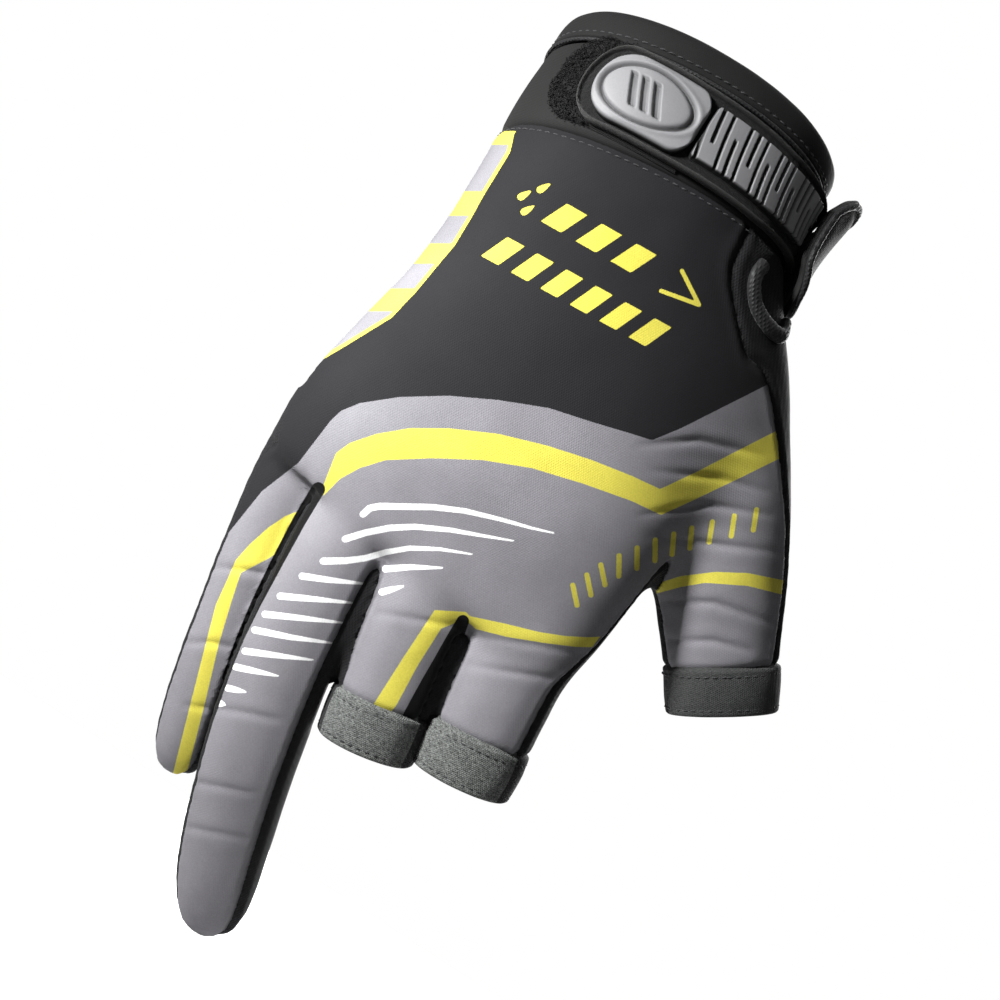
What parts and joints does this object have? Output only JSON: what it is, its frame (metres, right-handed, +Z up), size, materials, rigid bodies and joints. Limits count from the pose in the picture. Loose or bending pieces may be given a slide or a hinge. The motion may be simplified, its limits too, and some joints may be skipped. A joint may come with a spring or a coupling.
{
  "type": "fishing glove",
  "caption": "Right-hand stretch-cloth fishing glove in worn form: closed ring and little fingers, cut thumb, index and middle fingers with hems, padded cuff and strap with moulded plate.",
  "frame": {"origin": "centre of the wrist opening, in the plane of the cuff's rim, where the glove sits on the wrist", "axes": "+Z up along the forearm side, fingers towards -Z, back of the hand towards -Y, thumb side towards +X"},
  "size_m": [0.1221, 0.0639, 0.2187],
  "materials": {
    "back_panel": "printed stretch cloth, satin",
    "palm_panel": "black stretch cloth, matt",
    "cuff": "padded cloth, matt",
    "cuff_hem": "folded and stitched cloth",
    "loop_patch": "fuzzy loop cloth",
    "wrist_strap": "felt-edged strap",
    "strap_plate": "moulded soft rubber, satin",
    "vent_binding": "corded edge binding",
    "side_flap": "folded cloth",
    "middle_hem": "heather elastic cloth",
    "index_hem": "heather elastic cloth",
    "thumb_hem": "heather elastic cloth"
  },
  "bodies": {
    "root": {"back_panel": "back_panel", "palm_panel": "palm_panel", "cuff": "cuff", "cuff_hem": "cuff_hem", "loop_patch": "loop_patch", "wrist_strap": "wrist_strap", "strap_plate": "strap_plate", "vent_binding": "vent_binding", "side_flap": "side_flap", "middle_hem": "middle_hem", "index_hem": "index_hem", "thumb_hem": "thumb_hem"}
  },
  "joints": []
}
